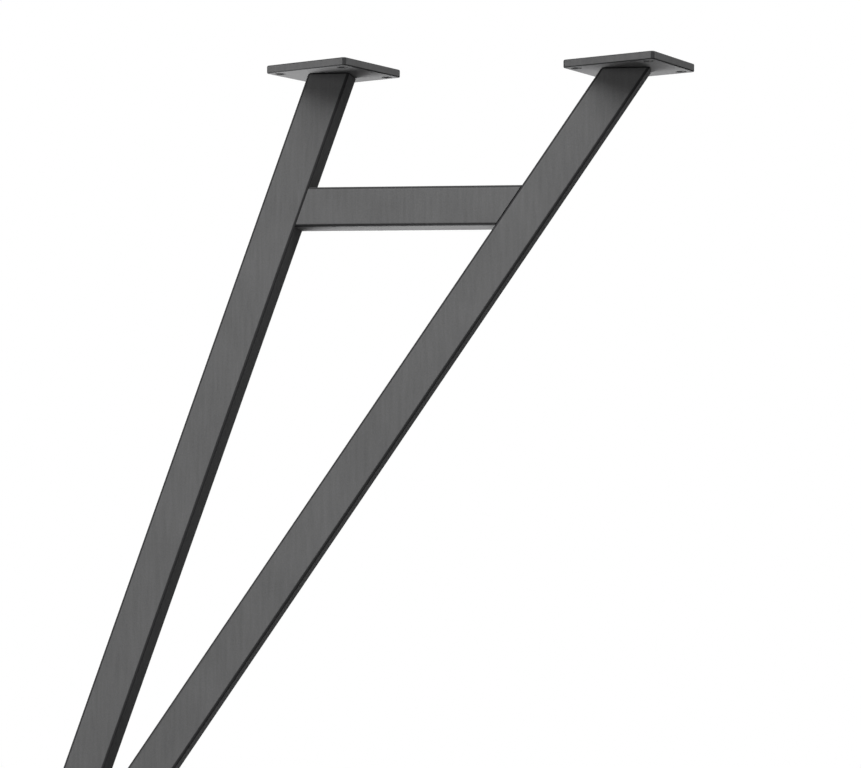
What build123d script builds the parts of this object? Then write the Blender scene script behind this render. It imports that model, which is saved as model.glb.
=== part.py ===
from build123d import *
import os

# Welded table leg: two square-tube arms rise from one foot to a bolt-on plate each, tied by a crossbar.
# The foot stands at the origin. X runs along the table, Y across it towards its middle, Z up.

# Stance
leg_height = 710.0                # floor to the mounting faces of the plates
outer_plate_x = 200.0             # foot to the outer plate's centre, along the table
outer_plate_y = 152.0             # foot to the outer plate's centre, across the table
plate_step_x = 200.0              # outer to inner plate's centre, along the table
plate_step_y = 100.0              # outer to inner plate's centre, across the table
arms_meet_height = 18.0           # floor to the point where the arms' axes meet
crossbar_drop = 108.0             # mounting faces down to the crossbar's axis

# Square tube of the arms and the crossbar
tube_size = 30.0
tube_wall = 2.0
tube_corner_radius = 2.5
arm_top_chamfer = 1.0             # outer edge of the arms' top cuts

# Mounting plates
mount_plate_size = 74.0
mount_plate_thickness = 6.0
mount_plate_corner_radius = 3.0   # upright corners
mount_plate_edge_radius = 1.0     # edges round both faces
bolt_diameter = 6.0
bolt_clearance = 2.0              # hole diameter over bolt diameter
bolt_edge_distance = 8.0          # hole centre to the plate's edge

# Foot
foot_plate_thickness = 3.0
glide_thickness = 2.0
glide_margin = 1.0                # how far the glide stays inside the tube's width on each side
glide_corner_radius = 2.0         # upright corners
glide_edge_chamfer = 0.5          # edges round its underside

# Heights and points that follow from the stance
foot_top = glide_thickness + foot_plate_thickness
foot_point = Vector(0, 0, foot_top)
plate_underside = Vector(0, 0, leg_height - mount_plate_thickness)
outer_plate_centre = Vector(outer_plate_x, outer_plate_y, leg_height - mount_plate_thickness / 2)
inner_plate_centre = outer_plate_centre + Vector(plate_step_x, plate_step_y, 0)
outer_axis = (outer_plate_centre - foot_point).normalized()
meet_point = foot_point + outer_axis * ((arms_meet_height - foot_top) / outer_axis.Z)
inner_axis = (inner_plate_centre - meet_point).normalized()

# Directions in and across the leg's plane; each side direction points from the outer arm to the inner one
leg_normal = outer_axis.cross(inner_axis).normalized()
outer_side = leg_normal.cross(outer_axis)
inner_side = leg_normal.cross(inner_axis)
half_tube = tube_size / 2
trim_allowance = 2 * tube_size    # extra tube at each end, cut away again
hole_diameter = bolt_diameter + bolt_clearance
bolt_spacing = mount_plate_size - 2 * bolt_edge_distance


def tube(start, end):
    """Hollow square tube along a line, with the trim allowance at both ends."""
    direction = (end - start).normalized()
    length = (end - start).length + 2 * trim_allowance
    section = Plane(origin=start - direction * trim_allowance, x_dir=leg_normal, z_dir=direction)
    bore_size = tube_size - 2 * tube_wall
    outside = extrude(section * RectangleRounded(tube_size, tube_size, tube_corner_radius), length)
    bore = extrude(section * Rectangle(bore_size, bore_size), length)
    return outside - bore


def trim(solid, point, away):
    """Cut off what lies beyond a plane, on the side that the direction points to."""
    return split(solid, bisect_by=Plane(origin=point, z_dir=away), keep=Keep.BOTTOM)


def break_top_edge(arm):
    """Chamfer round the outside of an arm's top cut."""
    top_cut = arm.faces().sort_by(Axis.Z)[-1]
    return chamfer(top_cut.outer_wire().edges(), arm_top_chamfer)


def mount_plate(centre):
    """Square plate with a bolt hole near each corner, laid level round its centre."""
    outline = RectangleRounded(mount_plate_size, mount_plate_size, mount_plate_corner_radius)
    plate = extrude(outline, mount_plate_thickness / 2, both=True)
    rims = plate.faces().filter_by(Axis.Z).edges()
    plate = fillet(rims, mount_plate_edge_radius)
    hole = extrude(Circle(hole_diameter / 2), mount_plate_thickness / 2, both=True)
    plate -= GridLocations(bolt_spacing, bolt_spacing, 2, 2) * hole
    return Pos(centre) * plate


def on_axis(point, axis, height):
    """Point of an arm's axis at a height above the floor, from any point of it."""
    return point + axis * ((height - point.Z) / axis.Z)


up = Vector(0, 0, 1)

outer_arm = tube(foot_point, outer_plate_centre)
outer_arm = trim(outer_arm, plate_underside, up)
outer_arm = trim(outer_arm, foot_point, -up)
outer_arm = break_top_edge(outer_arm)

inner_arm = tube(meet_point, inner_plate_centre)
inner_arm = trim(inner_arm, plate_underside, up)
inner_arm = trim(inner_arm, meet_point + outer_side * half_tube, -outer_side)
inner_arm = trim(inner_arm, foot_point, -up)
inner_arm = break_top_edge(inner_arm)

crossbar_height = leg_height - crossbar_drop
crossbar_start = on_axis(meet_point, outer_axis, crossbar_height)
crossbar_end = on_axis(meet_point, inner_axis, crossbar_height)
crossbar = tube(crossbar_start, crossbar_end)
crossbar = trim(crossbar, crossbar_start + outer_side * half_tube, -outer_side)
crossbar = trim(crossbar, crossbar_end - inner_side * half_tube, inner_side)

outer_mount_plate = mount_plate(outer_plate_centre)
inner_mount_plate = mount_plate(inner_plate_centre)

# The foot plate has the outline of the outer arm's level cut
arm_end = outer_arm.faces().sort_by(Axis.Z)[0]
foot_plate = extrude(Face(arm_end.outer_wire()), foot_plate_thickness, dir=-up)

glide_size = tube_size - 2 * glide_margin
glide_plane = Plane(origin=(0, 0, 0), x_dir=Vector(plate_step_x, plate_step_y, 0), z_dir=up)
glide_outline = glide_plane * RectangleRounded(glide_size, glide_size, glide_corner_radius)
foot_glide = extrude(glide_outline, glide_thickness)
foot_glide = chamfer(foot_glide.faces().sort_by(Axis.Z)[0].edges(), glide_edge_chamfer)

os.makedirs("parts", exist_ok=True)
export_step(outer_arm, "parts/outer_arm.step")
export_step(inner_arm, "parts/inner_arm.step")
export_step(crossbar, "parts/crossbar.step")
export_step(outer_mount_plate, "parts/outer_mount_plate.step")
export_step(inner_mount_plate, "parts/inner_mount_plate.step")
export_step(foot_plate, "parts/foot_plate.step")
export_step(foot_glide, "parts/foot_glide.step")
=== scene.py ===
import bpy
import math
from mathutils import Matrix, Vector


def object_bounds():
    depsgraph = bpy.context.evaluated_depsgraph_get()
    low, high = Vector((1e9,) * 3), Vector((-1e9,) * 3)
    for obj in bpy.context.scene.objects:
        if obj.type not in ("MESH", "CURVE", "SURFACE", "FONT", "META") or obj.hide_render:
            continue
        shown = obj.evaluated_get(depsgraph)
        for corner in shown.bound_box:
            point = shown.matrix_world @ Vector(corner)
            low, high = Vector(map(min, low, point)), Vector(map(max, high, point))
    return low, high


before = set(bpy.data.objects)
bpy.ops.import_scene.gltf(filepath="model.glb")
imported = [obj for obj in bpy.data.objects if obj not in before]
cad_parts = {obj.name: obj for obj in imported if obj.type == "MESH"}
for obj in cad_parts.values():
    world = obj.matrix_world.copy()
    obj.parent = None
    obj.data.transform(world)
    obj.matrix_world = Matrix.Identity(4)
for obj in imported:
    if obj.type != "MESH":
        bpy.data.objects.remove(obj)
cad_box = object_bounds()

# The camera that sees the leg as the photograph does (metres, degrees)
PICTURE_WIDTH = 861                 # pixels
FOCAL_LENGTH = 1582                 # pixels
CAMERA_PLACE = Vector((0.9252, -0.8263, 0.5167))
CAMERA_YAW = 33.10                  # view turned from +Y towards -X
CAMERA_PITCH = -2.27                # tilt up from level
CAMERA_ROLL = 0.09
LEVEL_TILT = 90.0                   # turn about X that makes a camera look level
SENSOR_WIDTH = 36.0                 # millimetres
CLIP_START = 0.01

# Noise patterns: cells per metre and detail, and the range in which noise lies nearly everywhere
GRAIN = (1500.0, 2.0)
STREAKS = (420.0, 3.0)
CLOUDS = (22.0, 2.0)
MOULD_TEXTURE = (2200.0, 2.0)
SCUFFS = (160.0, 4.0)
NOISE_LOW = 0.3
NOISE_HIGH = 0.7
RELIEF_HEIGHT = 0.0002              # metres

# Powder coat
COAT_COLOUR = (0.118, 0.118, 0.119)
GRAIN_SWING = 0.09                  # how far each pattern moves the tone, as a share of it
STREAK_SWING = 0.06
CLOUD_SWING = 0.04
STREAK_STRETCH = (1, 1, 0.05)       # streaks run upright
COAT_ROUGHNESS = 0.85
ROUGHNESS_SWING = 0.06
COAT_SPECULAR = 0.03
COAT_RELIEF = 0.12                  # strength

# Rounded edges of the coated pieces, painted darker as shade
EDGE_SHADE_COLOUR = (0.040, 0.040, 0.041)
FLAT_SHARE = 0.02                   # share of a piece's area from which a direction counts as a flat face
DIRECTION_DIGITS = 3                # decimals to which directions count as the same
EDGE_START = 0.995                  # cosine of the turn away from the nearest flat face where the edge begins
EDGE_FULL = 0.93

# Glide pad
GLIDE_COLOUR = (0.028, 0.028, 0.029)
SCUFF_START = 0.35                  # range of the scuffs' noise that changes the tone
SCUFF_FULL = 0.75
SCUFF_TONE = (0.85, 1.35)           # between the scuffs and in them
GLIDE_ROUGHNESS = (0.55, 0.72)
GLIDE_RELIEF = 0.15                 # strength

# Studio
FLOOR_COLOUR = (0.8, 0.8, 0.8)
FLOOR_ROUGHNESS = 0.8
FLOOR_SIZE = 24.0
FLOOR_WHITE = 0.5                   # share of the background's white in the floor near the leg
FADE_START = 0.2                    # from the leg's foot, where the floor begins to fade into the background
FADE_END = 0.66
WORLD_LIGHT = 0.12                  # strength of the world's light on the leg

# Soft boxes: bearing from the leg's middle, distance, size and power
LAMPS = (
    ("key", (0.335, -0.37, 0.865), 4.5, 3.9, 340.0),
    ("fill", (0.3, -0.92, 0.1), 3.0, 1.6, 20.0),
    ("under", (-0.72, 0.0, -0.69), 4.0, 2.4, 590.0),
)

# Colour sockets of a mix node
MIX_FIRST = 6
MIX_SECOND = 7
MIX_RESULT = 2


def node(tree, kind, **values):
    """Adds a shader node; each value sets an input socket, or the node's own property where it has one."""
    made = tree.nodes.new(kind)
    for key, value in values.items():
        if hasattr(made, key):
            setattr(made, key, value)
        else:
            made.inputs[key.replace("_", " ")].default_value = value
    return made


def new_material(name):
    """Empty node material with its principled shader, linked to the output."""
    material = bpy.data.materials.new(name)
    material.use_nodes = True
    tree = material.node_tree
    tree.nodes.clear()
    output = tree.nodes.new("ShaderNodeOutputMaterial")
    shader = tree.nodes.new("ShaderNodeBsdfPrincipled")
    tree.links.new(shader.outputs["BSDF"], output.inputs["Surface"])
    return material, tree, shader


def noise(tree, place, pattern, stretch=(1, 1, 1)):
    """Noise with a pattern's cells and detail, its cells made longer along an axis by a stretch under 1."""
    cells, detail = pattern
    mapping = node(tree, "ShaderNodeMapping", Scale=stretch)
    tree.links.new(place, mapping.inputs["Vector"])
    made = node(tree, "ShaderNodeTexNoise", Scale=cells, Detail=detail)
    tree.links.new(mapping.outputs["Vector"], made.inputs["Vector"])
    return made.outputs["Fac"]


def remap(tree, value, low, high, to_low, to_high, smooth=False):
    """Maps a value's range to another, clamped."""
    made = node(tree, "ShaderNodeMapRange", interpolation_type="SMOOTHSTEP" if smooth else "LINEAR")
    for socket, number in zip(("From Min", "From Max", "To Min", "To Max"), (low, high, to_low, to_high)):
        made.inputs[socket].default_value = number
    tree.links.new(value, made.inputs["Value"])
    return made.outputs["Result"]


def swing(tree, pattern, middle, reach):
    """A noise pattern as a value that swings about its middle."""
    return remap(tree, pattern, NOISE_LOW, NOISE_HIGH, middle - reach, middle + reach)


def maths(tree, operation, first, second):
    """Math node on two sockets."""
    made = node(tree, "ShaderNodeMath", operation=operation)
    tree.links.new(first, made.inputs[0])
    tree.links.new(second, made.inputs[1])
    return made.outputs["Value"]


def tinted(tree, colour, tone):
    """A colour multiplied by a tone."""
    mix = node(tree, "ShaderNodeMix", data_type="RGBA", blend_type="MULTIPLY", Factor=1.0)
    mix.inputs[MIX_FIRST].default_value = (*colour, 1.0)
    tree.links.new(tone, mix.inputs[MIX_SECOND])
    return mix.outputs[MIX_RESULT]


def relief(tree, shader, pattern, strength):
    """A noise pattern as the surface's fine relief."""
    bump = node(tree, "ShaderNodeBump", Strength=strength, Distance=RELIEF_HEIGHT)
    tree.links.new(pattern, bump.inputs["Height"])
    tree.links.new(bump.outputs["Normal"], shader.inputs["Normal"])


def flat_directions(piece):
    """The directions that a piece's flat faces look in, each with at least the flat share of its area."""
    areas = {}
    for polygon in piece.data.polygons:
        key = tuple(round(c, DIRECTION_DIGITS) for c in polygon.normal)
        areas[key] = areas.get(key, 0.0) + polygon.area
    least = FLAT_SHARE * sum(areas.values())
    return [Vector(key).normalized() for key, area in areas.items() if area > least]


def edge_mask(tree, normal, directions):
    """0 on flat faces and 1 across the rounded edges between them, from the way the surface faces."""
    nearest = None
    for direction in directions:
        facing = node(tree, "ShaderNodeVectorMath", operation="DOT_PRODUCT")
        facing.inputs[1].default_value = direction
        tree.links.new(normal, facing.inputs[0])
        facing = facing.outputs["Value"]
        nearest = facing if nearest is None else maths(tree, "MAXIMUM", nearest, facing)
    return remap(tree, nearest, EDGE_START, EDGE_FULL, 0.0, 1.0, smooth=True)


def powder_coat(name, directions):
    """Black powder coat: fine grain, faint upright streaks, cloudy tone, and painted shade darkening the
    rounded edges.
    """
    material, tree, shader = new_material(name)
    coordinates = tree.nodes.new("ShaderNodeTexCoord")
    place = coordinates.outputs["Object"]
    grain = noise(tree, place, GRAIN)
    streaks = noise(tree, place, STREAKS, STREAK_STRETCH)
    clouds = noise(tree, place, CLOUDS)
    tone = swing(tree, streaks, 1.0, STREAK_SWING)
    tone = maths(tree, "MULTIPLY", tone, swing(tree, grain, 1.0, GRAIN_SWING))
    tone = maths(tree, "MULTIPLY", tone, swing(tree, clouds, 1.0, CLOUD_SWING))
    edges = edge_mask(tree, coordinates.outputs["Normal"], directions)
    # painted shade: the rounded edges get a darker colour in place of their own shading
    colour = node(tree, "ShaderNodeMix", data_type="RGBA")
    tree.links.new(edges, colour.inputs["Factor"])
    tree.links.new(tinted(tree, COAT_COLOUR, tone), colour.inputs[MIX_FIRST])
    colour.inputs[MIX_SECOND].default_value = (*EDGE_SHADE_COLOUR, 1.0)
    tree.links.new(colour.outputs[MIX_RESULT], shader.inputs["Base Color"])
    roughness = swing(tree, grain, COAT_ROUGHNESS, ROUGHNESS_SWING)
    tree.links.new(maths(tree, "MAXIMUM", roughness, edges), shader.inputs["Roughness"])
    relief(tree, shader, grain, COAT_RELIEF)
    shader.inputs["Specular IOR Level"].default_value = COAT_SPECULAR
    return material


def moulded_plastic(name):
    """Matt black plastic with a fine moulded texture and scuffs."""
    material, tree, shader = new_material(name)
    place = tree.nodes.new("ShaderNodeTexCoord").outputs["Object"]
    texture = noise(tree, place, MOULD_TEXTURE)
    scuffs = noise(tree, place, SCUFFS)
    tone = remap(tree, scuffs, SCUFF_START, SCUFF_FULL, *SCUFF_TONE)
    tree.links.new(tinted(tree, GLIDE_COLOUR, tone), shader.inputs["Base Color"])
    roughness = remap(tree, scuffs, NOISE_LOW, NOISE_HIGH, *GLIDE_ROUGHNESS)
    tree.links.new(roughness, shader.inputs["Roughness"])
    relief(tree, shader, texture, GLIDE_RELIEF)
    return material


def dress():
    """Gives each piece its finish."""
    for name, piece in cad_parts.items():
        if name == "foot_glide":
            material = moulded_plastic("glide_plastic")
        else:
            material = powder_coat("coat_" + name, flat_directions(piece))
        piece.data.materials.clear()
        piece.data.materials.append(material)


def seen_white(tree):
    """1 for rays that show the background: straight from the camera, mirrored, or through something clear."""
    path = tree.nodes.new("ShaderNodeLightPath")
    seen = maths(tree, "MAXIMUM", path.outputs["Is Camera Ray"], path.outputs["Is Glossy Ray"])
    return maths(tree, "MAXIMUM", seen, path.outputs["Is Transmission Ray"])


def studio_floor():
    """Pale floor that keeps the leg's shadow and fades into the white background away from it."""
    half = FLOOR_SIZE / 2
    corners = [(-half, -half, 0), (half, -half, 0), (half, half, 0), (-half, half, 0)]
    mesh = bpy.data.meshes.new("studio_floor")
    mesh.from_pydata(corners, [], [(0, 1, 2, 3)])
    floor = bpy.data.objects.new("studio_floor", mesh)
    bpy.context.scene.collection.objects.link(floor)
    material, tree, shader = new_material("studio_floor")
    output = tree.nodes["Material Output"]
    shader.inputs["Base Color"].default_value = (*FLOOR_COLOUR, 1.0)
    shader.inputs["Roughness"].default_value = FLOOR_ROUGHNESS
    shader.inputs["Specular IOR Level"].default_value = 0.0
    coordinates = tree.nodes.new("ShaderNodeTexCoord")
    distance = node(tree, "ShaderNodeVectorMath", operation="LENGTH")
    tree.links.new(coordinates.outputs["Object"], distance.inputs[0])
    fade = remap(tree, distance.outputs["Value"], FADE_START, FADE_END, FLOOR_WHITE, 1.0, smooth=True)
    white = node(tree, "ShaderNodeEmission", Color=(1, 1, 1, 1), Strength=1.0)
    mix = tree.nodes.new("ShaderNodeMixShader")
    tree.links.new(maths(tree, "MULTIPLY", fade, seen_white(tree)), mix.inputs["Fac"])
    tree.links.new(shader.outputs["BSDF"], mix.inputs[1])
    tree.links.new(white.outputs["Emission"], mix.inputs[2])
    tree.links.new(mix.outputs["Shader"], output.inputs["Surface"])
    mesh.materials.append(material)
    floor.visible_diffuse = False
    floor.visible_shadow = False


def studio_world():
    """White background, and a low even light on the leg."""
    world = bpy.data.worlds.new("studio")
    bpy.context.scene.world = world
    world.use_nodes = True
    tree = world.node_tree
    tree.nodes.clear()
    output = tree.nodes.new("ShaderNodeOutputWorld")
    background = node(tree, "ShaderNodeBackground", Color=(1, 1, 1, 1))
    tree.links.new(remap(tree, seen_white(tree), 0.0, 1.0, WORLD_LIGHT, 1.0), background.inputs["Strength"])
    tree.links.new(background.outputs["Background"], output.inputs["Surface"])


def lamp(name, place, target, size, power):
    """Square soft box at a place, turned to a target."""
    data = bpy.data.lights.new(name, "AREA")
    data.shape = "SQUARE"
    data.size = size
    data.energy = power
    light = bpy.data.objects.new(name, data)
    light.location = place
    light.rotation_mode = "QUATERNION"
    light.rotation_quaternion = (target - place).to_track_quat("-Z", "Y")
    bpy.context.scene.collection.objects.link(light)


def photograph_camera():
    """Camera where the photograph was taken from."""
    data = bpy.data.cameras.new("camera")
    data.sensor_fit = "HORIZONTAL"
    data.sensor_width = SENSOR_WIDTH
    data.lens = FOCAL_LENGTH / PICTURE_WIDTH * SENSOR_WIDTH
    data.clip_start = CLIP_START
    camera = bpy.data.objects.new("camera", data)
    bpy.context.scene.collection.objects.link(camera)
    turn = Matrix.Rotation(math.radians(CAMERA_YAW), 4, "Z")
    tilt = Matrix.Rotation(math.radians(LEVEL_TILT + CAMERA_PITCH), 4, "X")
    roll = Matrix.Rotation(math.radians(-CAMERA_ROLL), 4, "Z")
    camera.matrix_world = Matrix.Translation(CAMERA_PLACE) @ turn @ tilt @ roll
    bpy.context.scene.camera = camera


dress()
studio_floor()
studio_world()
leg_middle = (cad_box[0] + cad_box[1]) / 2
for name, bearing, distance, size, power in LAMPS:
    lamp(name, leg_middle + Vector(bearing).normalized() * distance, leg_middle, size, power)
photograph_camera()
bpy.context.scene.view_settings.view_transform = "Standard"
